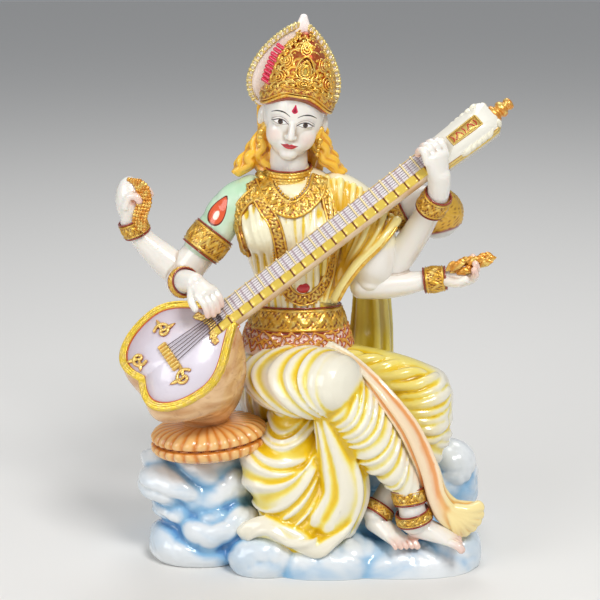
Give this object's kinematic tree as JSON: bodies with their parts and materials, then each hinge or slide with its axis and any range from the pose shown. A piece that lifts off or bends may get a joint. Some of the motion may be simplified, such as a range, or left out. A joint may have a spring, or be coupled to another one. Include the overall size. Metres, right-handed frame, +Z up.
{
  "type": "goddess figurine",
  "caption": "Seated many-armed goddess playing a long-necked lute on a rock base: a glazed, hand-painted casting that stands on its flat underside as a table or shrine ornament.",
  "frame": {"origin": "on the flat underside, under the middle of the seat, where the figure's axis meets the table", "axes": "+Z up from the underside to the tip of the crest, -Y out of the figure's front, +X towards the end of the lute's neck"},
  "size_m": [0.2158, 0.1167, 0.3009],
  "materials": {
    "glazed_casting": "ivory-white casting under a clear gloss glaze, hand-painted in yellow, gold, orange, mint green and pale blue"
  },
  "bodies": {
    "root": {"figure": "glazed_casting"}
  },
  "joints": []
}
